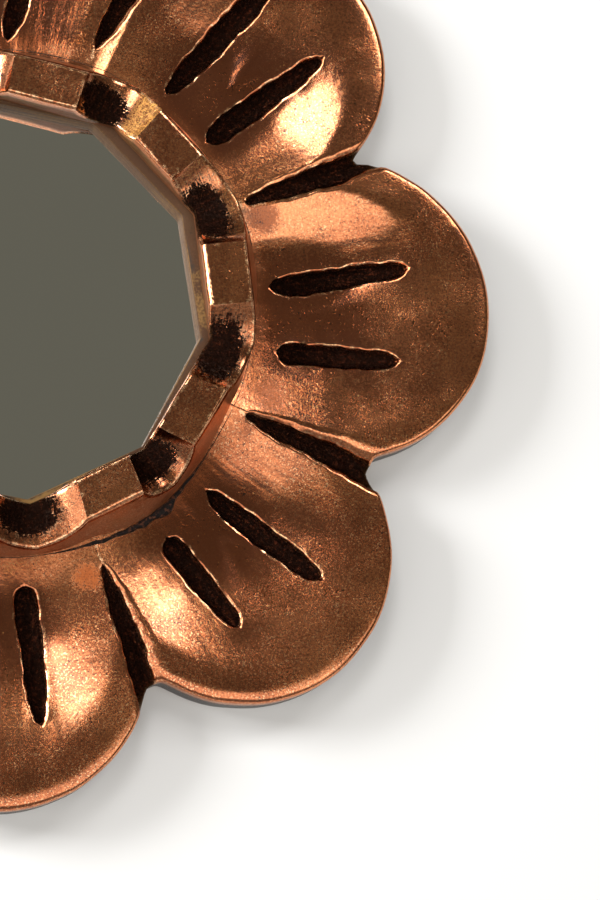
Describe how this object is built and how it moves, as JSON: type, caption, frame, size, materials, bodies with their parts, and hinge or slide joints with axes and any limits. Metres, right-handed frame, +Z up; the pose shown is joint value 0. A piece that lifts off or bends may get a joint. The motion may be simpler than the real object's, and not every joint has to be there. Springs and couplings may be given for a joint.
{
  "type": "wall mirror",
  "caption": "Round wall mirror in a hand-carved flower frame with gouged petals, gilded in copper leaf, with a notched ring round the glass and a swinging hanging ring behind.",
  "frame": {"origin": "the nail point: where the nail that carries the hanging ring leaves the wall, on the wall's plane", "axes": "+Z up, the mirror faces -Y, the wall is on the +Y side, +X to the right of someone who looks into the mirror"},
  "size_m": [0.2983, 0.026, 0.2984],
  "materials": {
    "copper_leaf": "carved wood gilded with burnished copper leaf over a red ground, cuts blackened, edge painted black",
    "silvered_glass": "clear float glass silvered on the back",
    "backing_paper": "plain brown card",
    "hardboard": "brown hardboard, smooth side out",
    "brad_steel": "bright wire, dulled",
    "plated_steel": "brass-plated steel",
    "pad_felt": "pressed wool felt"
  },
  "bodies": {
    "mirror": {"petal_plate": "copper_leaf", "bezel_ring": "copper_leaf", "mirror_glass": "silvered_glass", "backing_card": "backing_paper", "back_board": "hardboard", "panel_brads": "brad_steel", "hanger_strap": "plated_steel", "hanger_screws": "plated_steel", "wall_pad_upper_right": "pad_felt", "wall_pad_upper_left": "pad_felt", "wall_pad_lower_left": "pad_felt", "wall_pad_lower_right": "pad_felt"},
    "ring": {"hanging_ring": "plated_steel"}
  },
  "joints": [
    {"name": "ring_swing", "type": "hinge", "parent": "mirror", "child": "ring", "pos_m": [0, -0.00295, -0.0139], "axis": [-1, 0, 0], "range_deg": [0, 160]}
  ]
}
